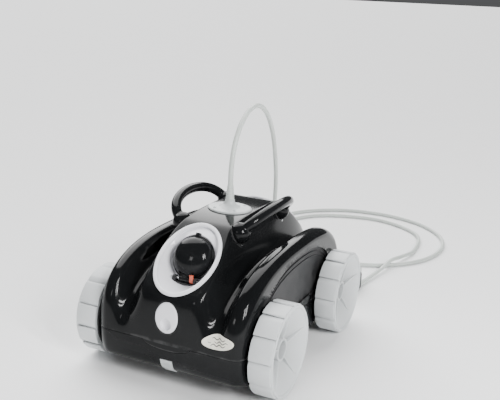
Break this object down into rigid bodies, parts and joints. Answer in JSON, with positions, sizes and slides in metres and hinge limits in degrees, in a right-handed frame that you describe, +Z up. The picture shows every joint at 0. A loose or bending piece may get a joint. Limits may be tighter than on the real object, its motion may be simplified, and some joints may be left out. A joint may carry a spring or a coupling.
{
  "type": "pool cleaner",
  "caption": "Domed wheeled underwater cleaner that draws debris up through its base and drives itself with water jets, with carry handles and a floating power cable.",
  "frame": {"origin": "on the floor that the wheels stand on, under the middle of the machine", "axes": "+Z up, front towards -Y, +X to the right hand when looking from the front towards the rear"},
  "size_m": [0.4518, 1.1066, 0.4005],
  "materials": {
    "gloss_black": "polished black moulding",
    "satin_black": "fine satin black moulding",
    "wheel_grey": "pale cool grey moulding, semi-matt",
    "gloss_white": "white moulding with a light gloss",
    "light_grey": "light grey moulding",
    "cable_sheath": "pale grey-green floating cable sheath",
    "badge_cream": "cream plate with a plain ripple motif",
    "clip_red": "red moulding",
    "steel": "bright drawn steel"
  },
  "bodies": {
    "chassis": {"upper_cover": "gloss_black", "tub": "gloss_black", "handle_left": "gloss_black", "handle_right": "gloss_black", "side_panel_left": "satin_black", "side_panel_right": "satin_black", "bottom_door": "satin_black", "motor_bridge": "satin_black", "motor_housing": "satin_black", "shaft_seal": "satin_black", "flow_duct": "satin_black", "flap_hinge_front": "satin_black", "flap_hinge_rear": "satin_black", "cable_connector": "satin_black", "coil_tie_left": "satin_black", "coil_tie_right": "satin_black", "axle_cap_front_left": "wheel_grey", "axle_cap_front_right": "wheel_grey", "axle_cap_rear_left": "wheel_grey", "axle_cap_rear_right": "wheel_grey", "jet_bucket_front": "gloss_white", "jet_bucket_rear": "gloss_white", "filter_basket": "light_grey", "gland_plate": "light_grey", "strain_relief": "cable_sheath", "cable": "cable_sheath", "cable_coil": "cable_sheath", "cable_tail": "cable_sheath", "badge": "badge_cream", "flap_pin_front": "steel", "flap_pin_rear": "steel", "handle_screw_left_front": "steel", "handle_screw_left_rear": "steel", "handle_screw_right_front": "steel", "handle_screw_right_rear": "steel", "axle_front_left": "steel", "axle_front_right": "steel", "axle_rear_left": "steel", "axle_rear_right": "steel"},
    "wheel_front_left": {"wheel_front_left": "wheel_grey", "wheel_disc_front_left": "satin_black"},
    "wheel_front_right": {"wheel_front_right": "wheel_grey", "wheel_disc_front_right": "satin_black"},
    "wheel_rear_left": {"wheel_rear_left": "wheel_grey", "wheel_disc_rear_left": "satin_black"},
    "wheel_rear_right": {"wheel_rear_right": "wheel_grey", "wheel_disc_rear_right": "satin_black"},
    "pump_rotor": {"motor_shaft": "steel", "impeller": "light_grey"},
    "jet_flap_front": {"jet_flap_front": "gloss_black", "flap_clip_front": "clip_red"},
    "inlet_flap_front": {"inlet_flap_front": "satin_black"},
    "door_latch_front": {"door_latch_front": "light_grey"},
    "release_button_front": {"release_button_front": "gloss_white"},
    "jet_flap_rear": {"jet_flap_rear": "gloss_black", "flap_clip_rear": "clip_red"},
    "inlet_flap_rear": {"inlet_flap_rear": "satin_black"},
    "door_latch_rear": {"door_latch_rear": "light_grey"},
    "release_button_rear": {"release_button_rear": "gloss_white"}
  },
  "joints": [
    {"name": "wheel_spin_front_left", "type": "hinge", "parent": "chassis", "child": "wheel_front_left", "pos_m": [-0.15125, -0.134, 0.0725], "axis": [1, 0, 0], "continuous": true},
    {"name": "wheel_spin_front_right", "type": "hinge", "parent": "chassis", "child": "wheel_front_right", "pos_m": [0.15125, -0.134, 0.0725], "axis": [1, 0, 0], "continuous": true},
    {"name": "wheel_spin_rear_left", "type": "hinge", "parent": "chassis", "child": "wheel_rear_left", "pos_m": [-0.15125, 0.134, 0.0725], "axis": [1, 0, 0], "continuous": true},
    {"name": "wheel_spin_rear_right", "type": "hinge", "parent": "chassis", "child": "wheel_rear_right", "pos_m": [0.15125, 0.134, 0.0725], "axis": [1, 0, 0], "continuous": true},
    {"name": "pump_spin", "type": "hinge", "parent": "chassis", "child": "pump_rotor", "pos_m": [0, 0, 0.12], "axis": [0, 0, 1], "continuous": true},
    {"name": "jet_flap_front_swing", "type": "hinge", "parent": "chassis", "child": "jet_flap_front", "pos_m": [0, -0.15694, 0.16058], "axis": [1, 0, 0], "range_deg": [0, 40], "stiffness_Nm_per_rad": 0.05, "springref_deg": -5.73},
    {"name": "inlet_flap_front_swing", "type": "hinge", "parent": "chassis", "child": "inlet_flap_front", "pos_m": [0, -0.106, 0.0325], "axis": [-1, 0, 0], "range_deg": [0, 60]},
    {"name": "door_latch_front_swing", "type": "hinge", "parent": "chassis", "child": "door_latch_front", "pos_m": [0, -0.2072, 0.045], "axis": [-1, 0, 0], "range_deg": [0, 55]},
    {"name": "release_button_front_press", "type": "slide", "parent": "chassis", "child": "release_button_front", "axis": [0, 1, 0], "range_m": [0, 0.004], "stiffness_N_per_m": 500, "springref_m": -0.001},
    {"name": "jet_flap_rear_swing", "type": "hinge", "parent": "chassis", "child": "jet_flap_rear", "pos_m": [0, 0.15694, 0.16058], "axis": [-1, 0, 0], "range_deg": [0, 40], "stiffness_Nm_per_rad": 0.05, "springref_deg": -5.73},
    {"name": "inlet_flap_rear_swing", "type": "hinge", "parent": "chassis", "child": "inlet_flap_rear", "pos_m": [0, 0.106, 0.0325], "axis": [1, 0, 0], "range_deg": [0, 60]},
    {"name": "door_latch_rear_swing", "type": "hinge", "parent": "chassis", "child": "door_latch_rear", "pos_m": [0, 0.2072, 0.045], "axis": [1, 0, 0], "range_deg": [0, 55]},
    {"name": "release_button_rear_press", "type": "slide", "parent": "chassis", "child": "release_button_rear", "axis": [0, -1, 0], "range_m": [0, 0.004], "stiffness_N_per_m": 500, "springref_m": -0.001}
  ]
}
